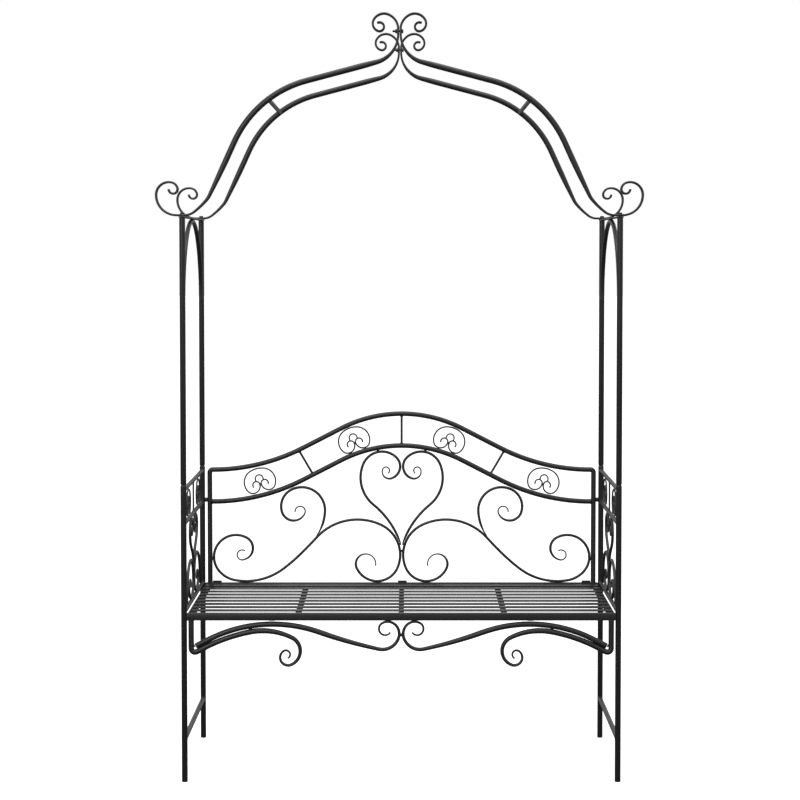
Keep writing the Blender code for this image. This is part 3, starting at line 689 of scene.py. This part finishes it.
def build_arches():
    radius = POST_Y - POST_R - WELD_GAP - ARCH_R
    strap_low = POST_TOP + WELD_GAP
    crown = strap_low - ARCH_R + 0.0004
    springing = crown - radius
    for side, sx in SIDES:
        x = sx * POST_X
        path, _ = trace((radius, springing), 90, [(radius / MM, 180)])
        bm = bmesh.new()
        sweep(bm, side_plane(path, x, 1), X_AXIS, plain(ARCH_R), sides=22, edge=0.0012)
        for ey in (-1, 1):
            foot = Vector((x, ey * (radius + ARCH_R), springing + 0.004))
            for sign in (-1, 1):
                bead(bm, foot + Vector((sign * 0.0026, 0, -0.003)),
                     foot + Vector((sign * 0.0026, 0, 0.030)), 0.0012)
        for sign in (-1, 1):
            bead(bm, Vector((x + sign * 0.0032, -0.014, strap_low - 0.0004)),
                 Vector((x + sign * 0.0032, 0.014, strap_low - 0.0004)), 0.0011)
        rounded_box(bm, (x - STRAP_WIDTH / 2, -STRAP_REACH, strap_low),
                    (x + STRAP_WIDTH / 2, STRAP_REACH, strap_low + STRAP_THICK), 0.0008)
        steel_piece(f"side_arch_{side}", bm, f"arch_bow_{side}")


# Roof

def bow_size(curl_out, curl_in):
    def size(s, total):
        t = min((s - curl_out) / EAVES_TAPER, (total - curl_in - s) / CROWN_TAPER)
        t = min(1.0, max(0.0, t))
        t = t * t * (3 - 2 * t)
        thick = BOW_FLAT_THICK / 2 + (BOW_R - BOW_FLAT_THICK / 2) * t
        width = BOW_FLAT_WIDTH / 2 + (BOW_R - BOW_FLAT_WIDTH / 2) * t
        return thick, width, 1 - t
    return size


def bow_outline():
    low = (POST_X, BOW_SEAT + BOW_FLAT_THICK / 2)
    outer, _ = trace(low, 0, BOW_OUTER_CURL)
    shoulder, heading = trace(low, 180, BOW_SHOULDER)
    apex = (APEX_X, APEX_Z)
    last = close_with_run_and_bend(shoulder[-1], heading, (APEX_X, APEX_Z - BOLT_FLAT), 90)
    crown, _ = trace(shoulder[-1], heading, last + [(STRAIGHT, BOLT_FLAT / MM)])
    top, _ = trace(apex, 90, BOW_TOP_CURL)
    path = outer[::-1] + shoulder[1:] + crown[1:] + top[1:]
    return path, cumulative(outer)[-1], cumulative(top)[-1]


def spread(points, longest):
    """Splits the long chords of a path, so that a changing section stays smooth."""
    result = [points[0]]
    for a, b in zip(points, points[1:]):
        count = max(1, math.ceil(math.dist(a, b) / longest))
        for i in range(1, count + 1):
            t = i / count
            result.append((a[0] + (b[0] - a[0]) * t, a[1] + (b[1] - a[1]) * t))
    return result


def build_roof():
    path, curl_out, curl_in = bow_outline()
    size = bow_size(curl_out + BOLT_CLEAR, curl_in + BOLT_CLEAR)
    path = spread(path, BOW_CHORD)
    strip_top = BOW_SEAT + BOW_FLAT_THICK
    for end, ey in ENDS:
        y = ey * POST_Y
        for side, sx in SIDES:
            bm = bmesh.new()
            sweep(bm, front_plane(path, sx, y, ROOF_SHIFT), Y_AXIS, size, sides=24, edge=0.0010)
            steel_piece(f"bow_{end}_{side}", bm, f"roof_bow_{end}_{side}")
            seat = Vector((sx * POST_X, y, strip_top))
            post_bolt(f"bolt_post_{end}_{side}", seat, f"post_bolt_{end}_{side}")
        apex_bolt(f"bolt_apex_{end}", Vector((ROOF_SHIFT, y, APEX_Z)), f"apex_bolt_{end}")
    link_z = height_at(path, LINK_X)
    reach = POST_Y - BOW_R - GAP
    for side, sx in SIDES:
        bm = bmesh.new()
        x = sx * LINK_X + ROOF_SHIFT
        hollow_bar(bm, Vector((x, -reach, link_z)), Vector((x, reach, link_z)), LINK_R, WALL)
        for ey in (-1, 1):
            ring_bead(bm, Vector((x, ey * (reach + 0.0003), link_z)), Y_AXIS, LINK_R, 0.0012)
        steel_piece(f"link_{side}", bm, f"roof_link_{side}")


def post_bolt(name, seat, node):
    """M6 hexagon bolt on a plain washer."""
    bm = bmesh.new()
    profile = [(0.0022, -0.0212), (0.0028, -0.0204), (BOLT_R, -0.0195), (BOLT_R, 0.0001),
               (0.0058, 0.0001), (0.0060, 0.0004), (0.0060, 0.0009), (0.0052, 0.0010),
               (0.0056, 0.0011, True), (HEX_R, 0.0014, True), (HEX_R, 0.0034, True), (0.0052, 0.0038, True),
               (0.0047, 0.0040), (0.0030, 0.0040), (0.0027, 0.0038)]
    turned(bm, profile, "Z", seat, sides=36, closed=False)
    bolt_piece(name, bm, node)


def apex_bolt(name, middle, node):
    """M6 bolt and flanged nut that pull the two bows of an end together."""
    face = APEX_X + BOW_FLAT_THICK / 2 + 0.0001
    bm = bmesh.new()
    profile = [(0.0018, -0.0185), (0.0024, -0.0182)]
    profile += thread(BOLT_R, 0.00035, -0.0180, -face - 0.0056, 0.0010)
    profile += [(0.0034, -face - 0.0054), (0.0050, -face - 0.0052, True), (HEX_R, -face - 0.0046, True),
                (HEX_R, -face - 0.0016, True), (0.0060, -face - 0.0013), (0.0068, -face - 0.0009),
                (0.0068, -face - 0.0002), (0.0066, -face), (BOLT_R, -face), (BOLT_R, face),
                (0.0060, face), (0.0062, face + 0.0003), (0.0062, face + 0.0009),
                (0.0056, face + 0.0010, True), (HEX_R, face + 0.0013, True), (HEX_R, face + 0.0036, True),
                (0.0050, face + 0.0040, True), (0.0040, face + 0.0041)]
    turned(bm, profile, "X", middle, sides=36, closed=False)
    bolt_piece(name, bm, node)


# Seat

def build_seat():
    half_x = POST_X - POST_R - WELD_GAP
    front = POST_Y + SEAT_RAIL_WIDTH / 2
    low = SEAT_TOP - SEAT_RAIL_HEIGHT
    ledge = SLAT_TOP - SLAT_THICK - 0.0001
    corner = 0.0011
    bm = bmesh.new()
    for ey in (-1, 1):
        y0, y1 = sorted((ey * front, ey * (front - SEAT_RAIL_WIDTH)))
        rounded_box(bm, (-half_x, y0, low), (half_x, y1, SEAT_TOP), corner)
        for sx in (-1, 1):
            for z in (low + 0.002, SEAT_TOP - 0.002):
                bead(bm, Vector((sx * half_x, ey * (front - 0.003), z)),
                     Vector((sx * half_x, ey * (front - 0.012), z)), 0.0011)
            bead(bm, Vector((sx * half_x, ey * (front - 0.0010), low + 0.003)),
                 Vector((sx * half_x, ey * (front - 0.0010), SEAT_TOP - 0.003)), 0.0011)
    for sx in (-1, 1):
        x0, x1 = sorted((sx * half_x, sx * (half_x - SEAT_RAIL_WIDTH)))
        rounded_box(bm, (x0, -front + SEAT_RAIL_WIDTH - 0.001, low + 0.0005),
                    (x1, front - SEAT_RAIL_WIDTH + 0.001, ledge), corner)
        for ey in (-1, 1):
            y = ey * (front - SEAT_RAIL_WIDTH)
            bead(bm, Vector((sx * (half_x - SEAT_RAIL_WIDTH), y, low + 0.003)),
                 Vector((sx * (half_x - SEAT_RAIL_WIDTH), y, ledge - 0.003)), 0.0012)
    length, thick, height = TAB_SIZE
    for x in TABS:
        y = front - SEAT_RAIL_WIDTH + MM
        rounded_box(bm, (x - length / 2, y, SEAT_TOP - MM),
                    (x + length / 2, y + thick, SEAT_TOP + height), 0.0008)
        for dx in (-0.3, 0.3):
            spot = Vector((x + dx * length, y, SEAT_TOP + 0.0002))
            bead(bm, spot - X_AXIS * 0.0030, spot + X_AXIS * 0.0030, 0.0010)
    steel_piece("seat_rails", bm, "seat_frame")

    bottom = SLAT_TOP - SLAT_THICK
    slat_half = half_x - 0.002
    bm = bmesh.new()
    for i in range(SLAT_COUNT):
        y = (i - (SLAT_COUNT - 1) / 2) * SLAT_PITCH
        rounded_box(bm, (-slat_half, y - SLAT_WIDTH / 2, bottom),
                    (slat_half, y + SLAT_WIDTH / 2, SLAT_TOP), 0.0006)
        for sx in (-1, 1):
            for dy in (-1, 1):
                edge = y + dy * SLAT_WIDTH / 2
                bead(bm, Vector((sx * (half_x - 0.0125), edge, bottom + 0.0004)),
                     Vector((sx * (half_x - 0.0045), edge, bottom + 0.0004)), 0.0008)
            for k in (-1, 0, 1):
                x = k * SUPPORT_X + sx * SUPPORT_SIZE / 2
                bead(bm, Vector((x, y - 0.006, bottom - 0.0001)),
                     Vector((x, y + 0.006, bottom - 0.0001)), 0.0008)
    support_reach = front - SEAT_RAIL_WIDTH - WELD_GAP
    for k in (-1, 0, 1):
        x = k * SUPPORT_X
        rounded_box(bm, (x - SUPPORT_SIZE / 2, -support_reach, bottom - SUPPORT_SIZE),
                    (x + SUPPORT_SIZE / 2, support_reach, bottom + 0.0002), 0.0012)
        for ey in (-1, 1):
            for dx in (-1, 1):
                spot = Vector((x + dx * SUPPORT_SIZE / 2, ey * support_reach, bottom - SUPPORT_SIZE))
                bead(bm, spot + Z_AXIS * 0.002, spot + Z_AXIS * 0.0125, 0.0010)
    steel_piece("seat_slats", bm, "seat_grille")


# Back

def back_rail_outline(lift=0.0):
    crest, heading = trace((0, BACK_CREST_Z + lift), 0, [BACK_CREST_BEND])
    end = (STILE_X - STILE_BEND, BACK_SHOULDER_Z + lift)
    last = close_with_run_and_bend(crest[-1], heading, end, 0)
    shoulder, _ = trace(crest[-1], heading, last)
    return crest + shoulder[1:]


def build_back():
    half = back_rail_outline()
    bend, _ = trace(half[-1], 0, [(-STILE_BEND / MM, 90)])
    half += bend[1:] + [(STILE_X, STILE_FOOT_Z)]
    bm = bmesh.new()
    sweep(bm, front_plane(mirrored(half), 1, POST_Y), Y_AXIS, plain(STILE_R), sides=24)
    for sx in (-1, 1):
        ring_bead(bm, Vector((sx * STILE_X, POST_Y, STILE_FOOT_Z + 0.0003)), Z_AXIS, STILE_R, 0.0011)
    steel_piece("back_hoop_tube", bm, "back_hoop")
    lower_half = back_rail_outline(-BACK_BAND)
    end_z = lower_half[-1][1]
    lower_half = lower_half[:-1] + [(STILE_X - STILE_R - GAP, end_z)]
    bm = bmesh.new()
    sweep(bm, front_plane(mirrored(lower_half), 1, POST_Y), Y_AXIS, plain(STILE_R), sides=24)
    for sx in (-1, 1):
        saddle_bead(bm, Vector((sx * (STILE_X - STILE_R), POST_Y, end_z)), X_AXIS * sx,
                    STILE_R - 0.0002, STILE_R)
    crest = back_rail_outline()
    for top_u, low_u in ((0.0, 0.0), (-0.299, -0.263), (0.299, 0.263)):
        top = Vector((top_u, POST_Y, height_on(crest, abs(top_u)) - STILE_R * 1.06))
        low = Vector((low_u, POST_Y, height_on(lower_half, abs(low_u)) + STILE_R * 0.9))
        along = (top - low).normalized()
        sweep(bm, [low, top], Y_AXIS, plain(DIVIDER_R), sides=14)
        ring_bead(bm, low + along * 0.0010, along, DIVIDER_R + 0.0003, 0.0009)
        ring_bead(bm, top - along * 0.0006, along, DIVIDER_R + 0.0003, 0.0009)
    steel_piece("back_band_rail", bm, "back_lower_rail")
    for side, sx in SIDES:
        inner = STILE_X + STILE_R + GAP
        outer = POST_X - POST_R - GAP
        bm = bmesh.new()
        turned(bm, [(0.0060, sx * inner), (0.0065, sx * (inner + 0.0005)), (0.0065, sx * (outer - 0.0005)),
                    (0.0060, sx * outer)], "X", Vector((0, POST_Y, BACK_BOLT_Z)), closed=False)
        bolt_piece(f"back_spacer_{side}", bm, f"back_bolt_{side}")


def rosette_paths():
    half, _ = trace((0, ROSETTE_CROWN), 0, ROSETTE_LOOP)
    arch, _ = trace((ROSETTE_ARCH[1][0] * MM, ROSETTE_ARCH_FOOT), 90, ROSETTE_ARCH)
    return mirrored(half), arch


def build_rosettes():
    """Eight rosettes of thin rod: an open loop with two curls, and the small arch that stands on them."""
    loop, arch = rosette_paths()
    line = back_rail_outline(-BACK_BAND / 2)
    places = []
    for side, sx in SIDES:
        for name, u, tilt, rise in ROSETTES:
            middle = Vector((sx * u, POST_Y, height_on(line, u) + rise))
            places.append((f"back_rosette_{name}_{side}", middle, X_AXIS, sx * math.radians(tilt)))
        for end, ey in ENDS:
            arm_middle = (ARM_TOP_Z + ARM_LOWER_Z) / 2 + ARM_ROSETTE_RISE
            middle = Vector((sx * POST_X, ey * ROSETTE_REACH, arm_middle))
            places.append((f"arm_rosette_{end}_{side}", middle, Y_AXIS, 0.0))
    for node, middle, flat, tilt in places:
        normal = flat.cross(Z_AXIS)
        right = flat * math.cos(tilt) - Z_AXIS * math.sin(tilt)
        up = flat * math.sin(tilt) + Z_AXIS * math.cos(tilt)
        bm = bmesh.new()
        for path, radius in ((loop, ROSETTE_R), (arch, ROSETTE_R - 0.0001)):
            points = [middle + right * u + up * v for u, v in path]
            sweep(bm, points, normal, plain(radius), sides=12, edge=0.0012)
        foot = ROSETTE_ARCH[1][0] * MM
        for u in (-foot, foot):
            spot = middle + right * u + up * (ROSETTE_ARCH_FOOT + 0.0012)
            bead(bm, spot - right * 0.0016, spot + right * 0.0016, 0.0020, normal, 1.0)
        curl = middle + up * (ROSETTE_ARCH_FOOT - 0.0127)
        bead(bm, curl - up * 0.0030, curl + up * 0.0030, 0.0018, normal, 1.0)
        steel_piece(node.replace("rosette", "rosette_rod"), bm, node)


def back_outlines():
    heart, _ = trace(HEART_FOOT, 70.75, HEART)
    outward, _ = trace(LONG_MIDDLE, -47, LONG_SCROLL_OUT)
    inward, _ = trace(LONG_MIDDLE, 133, LONG_SCROLL_IN)
    floor = SEAT_TOP + ROD_R + WELD_GAP
    outward = seated(outward, floor, BACK_EASE_Z)
    inward = seated(inward, floor, BACK_EASE_Z)
    branch, _ = trace(BRANCH_FOOT, 120.1, BRANCH_SCROLL)
    return heart, outward[::-1] + inward[1:], branch


def build_back_scrolls():
    heart, long_path, branch = back_outlines()
    for side, sx in SIDES:
        for node, path, size in (("back_heart", heart, BUTTED), ("long_scroll", long_path, CURLED),
                                 ("branch_scroll", branch, BUTTED)):
            bm = bmesh.new()
            points = front_plane(path, sx, POST_Y)
            sweep(bm, points, Y_AXIS, size, sides=16, edge=0.0014)
            if node == "branch_scroll":
                start = points[0]
                bead(bm, start + Vector((sx * 0.0075, 0, -0.0125)),
                     start + Vector((sx * -0.0006, 0, 0.0025)), 0.0027, Y_AXIS)
            if node == "long_scroll":
                for u, run in ((0.4602, 0.010), (0.0719, 0.008)):
                    spot = Vector((sx * u, POST_Y, SEAT_TOP + 0.0001))
                    bead(bm, spot - X_AXIS * run, spot + X_AXIS * run, 0.0014)
                front_bead(bm, sx, POST_Y, (0.5566, 0.5266), (0.5566, 0.5346), 0.0022, Y_AXIS, 1.0)
                front_bead(bm, sx, POST_Y, (0.0008, 0.5500), (0.0008, 0.5580), 0.0018, Y_AXIS, 1.0)
            if node == "back_heart":
                front_bead(bm, sx, POST_Y, (0.0034, 0.5715), (0.0044, 0.5790), 0.0026, Y_AXIS, 1.0)
                front_bead(bm, sx, POST_Y, (0.0655, 0.8530), (0.0735, 0.8505), 0.0018, Y_AXIS, 1.0)
            steel_piece(f"{node}_rod_{side}", bm, f"{node}_{side}")


def side_outlines():
    heart, _ = trace(SIDE_HEART_FOOT, 62, SIDE_HEART)
    inward, _ = trace(SIDE_SCROLL_MIDDLE, 180, SIDE_SCROLL_CURL)
    outward, _ = trace(SIDE_SCROLL_MIDDLE, 0, SIDE_SCROLL_ARCH)
    inward = seated(inward, SEAT_SIDE_RAIL_Z + SIDE_RAIL_R + ROD_R + WELD_GAP, SIDE_EASE_Z)
    return heart, outward[::-1] + inward[1:]


def build_side_scrolls():
    heart, scroll = side_outlines()
    for side, sx in SIDES:
        x = sx * POST_X
        bm = bmesh.new()
        rounded_box(bm, (x - CLASP[0], -CLASP[1], CLASP_Z - CLASP[2]),
                    (x + CLASP[0], CLASP[1], CLASP_Z + CLASP[2]), 0.0009)
        sweep(bm, [Vector((x, 0, CLASP_Z)), Vector((x, 0, SIDE_STEM_TOP))], X_AXIS, plain(ROD_R), sides=16,
              edge=0.0014)
        for ey in (-1, 1):
            for path in (heart, scroll):
                sweep(bm, side_plane(path, x, ey), X_AXIS, ONE_CURL, sides=16, edge=0.0014)
            rail_top = SEAT_SIDE_RAIL_Z + SIDE_RAIL_R
            for near, far, z in ((0.0875, 0.0975, rail_top), (0.1755, 0.1830, rail_top + 0.0006),
                                 (0.0415, 0.0500, ARM_LOWER_Z - SIDE_RAIL_R - 0.0002)):
                bead(bm, Vector((x, ey * near, z)), Vector((x, ey * far, z)), 0.0013)
        bead(bm, Vector((x, -0.0030, 0.5640)), Vector((x, 0.0030, 0.5640)), 0.0028, Z_AXIS, 1.0)
        steel_piece(f"side_scroll_rods_{side}", bm, f"side_scrollwork_{side}")


def build_apron_scrolls():
    underside = SEAT_TOP - SEAT_RAIL_HEIGHT - GAP
    upper, _ = trace(APRON_FOOT, 153, APRON_UPPER)
    upper = list(zip(eased([u for u, _ in upper], UPPER_MIDDLE_GAP, UPPER_EASE_X), [v for _, v in upper]))
    lower, _ = trace((DROP_X, underside), -90, APRON_LOWER)
    for side, sx in SIDES:
        y = -POST_Y
        bm = bmesh.new()
        sweep(bm, front_plane(spread(upper, APRON_CHORD), sx, y), Y_AXIS,
              tapered(APRON_TUBE_R, APRON_TIP_R, 0.0, UPPER_TAPER), sides=20, edge=0.0014)
        front_bead(bm, sx, y, (0.3390, underside), (0.3590, underside), 0.0024)
        front_bead(bm, sx, y, (0.0340, underside), (0.0430, underside), 0.0018)
        front_bead(bm, sx, y - 0.0035, (0.5560, 0.3670), (0.5600, 0.3760), 0.0018, X_AXIS)
        front_bead(bm, sx, y, (0.4020, 0.4176), (0.4120, 0.4160), 0.0020)
        front_bead(bm, sx, y, (0.0006, 0.3960), (0.0006, 0.4050), 0.0016, Y_AXIS, 1.0)
        steel_piece(f"apron_upper_tube_{side}", bm, f"apron_scroll_upper_{side}")
        bm = bmesh.new()
        sweep(bm, front_plane(spread(lower, APRON_CHORD), sx, y), Y_AXIS,
              tapered(APRON_TUBE_R, APRON_TIP_R, 0.0, LOWER_TAPER), sides=20, edge=0.0010)
        ring_bead(bm, Vector((sx * DROP_X, y, underside)), Z_AXIS, APRON_TUBE_R, 0.0010)
        steel_piece(f"apron_lower_tube_{side}", bm, f"apron_scroll_lower_{side}")


# Studio

def area_light(name, location, target, size, size_y, power):
    data = bpy.data.lights.new(name, "AREA")
    data.shape = "RECTANGLE"
    data.size = size
    data.size_y = size_y
    data.energy = power
    lamp = bpy.data.objects.new(name, data)
    bpy.context.scene.collection.objects.link(lamp)
    lamp.location = location
    lamp.rotation_euler = (Vector(target) - Vector(location)).to_track_quat("-Z", "Y").to_euler()


def build_world():
    """White to the camera. What lights the bench is brighter overhead and dim from below."""
    world = bpy.data.worlds.new("studio")
    bpy.context.scene.world = world
    world.use_nodes = True
    tree = world.node_tree
    tree.nodes.clear()
    out = tree.nodes.new("ShaderNodeOutputWorld")
    white = tree.nodes.new("ShaderNodeBackground")
    white.inputs["Color"].default_value = (1.0, 1.0, 1.0, 1.0)
    white.inputs["Strength"].default_value = 1.0
    soft = tree.nodes.new("ShaderNodeBackground")
    coords = tree.nodes.new("ShaderNodeTexCoord")
    split = tree.nodes.new("ShaderNodeSeparateXYZ")
    wire_up(tree, coords.outputs["Generated"], split.inputs["Vector"])
    height = map_node(tree, split.outputs["Z"], -1.0, 1.0, 0.0, 1.0)
    shade = ramp_node(tree, height, [(place, (grey,) * 3) for place, grey in SKY_GREYS])
    wire_up(tree, shade, soft.inputs["Color"])
    soft.inputs["Strength"].default_value = 1.0
    rays = tree.nodes.new("ShaderNodeLightPath")
    mix = tree.nodes.new("ShaderNodeMixShader")
    wire_up(tree, rays.outputs["Is Camera Ray"], mix.inputs["Fac"])
    wire_up(tree, soft.outputs["Background"], mix.inputs[1])
    wire_up(tree, white.outputs["Background"], mix.inputs[2])
    wire_up(tree, mix.outputs["Shader"], out.inputs["Surface"])


def build_floor():
    bm = bmesh.new()
    corners = [bm.verts.new((FLOOR_HALF * sx, FLOOR_HALF * sy, 0))
               for sx, sy in ((-1, -1), (1, -1), (1, 1), (-1, 1))]
    bm.faces.new(corners)
    mesh = bpy.data.meshes.new("floor")
    bm.to_mesh(mesh)
    bm.free()
    mesh.materials.append(floor_material("pale_floor"))
    floor = bpy.data.objects.new("floor", mesh)
    bpy.context.scene.collection.objects.link(floor)
    floor.visible_diffuse = False
    floor.visible_glossy = False


def build_camera():
    data = bpy.data.cameras.new("camera")
    data.sensor_width = 36.0
    data.lens = CAMERA_LENS
    data.shift_x, data.shift_y = CAMERA_SHIFT
    camera = bpy.data.objects.new("camera", data)
    bpy.context.scene.collection.objects.link(camera)
    camera.location = CAMERA_SPOT
    camera.rotation_euler = (math.radians(90 - CAMERA_DIP), 0.0, 0.0)
    bpy.context.scene.camera = camera


build_camera()
build_world()
build_floor()
area_light("overhead", (0.0, -0.6, 4.6), LIT_POINT, 3.4, 2.6, 70.0)
area_light("front_fill", (-2.2, -5.2, 2.6), LIT_POINT, 2.6, 2.6, 60.0)
bpy.context.scene.view_settings.view_transform = "Standard"

build_posts()
build_side_rails()
build_arches()
build_roof()
build_seat()
build_back()
build_rosettes()
build_back_scrolls()
build_side_scrolls()
build_apron_scrolls()
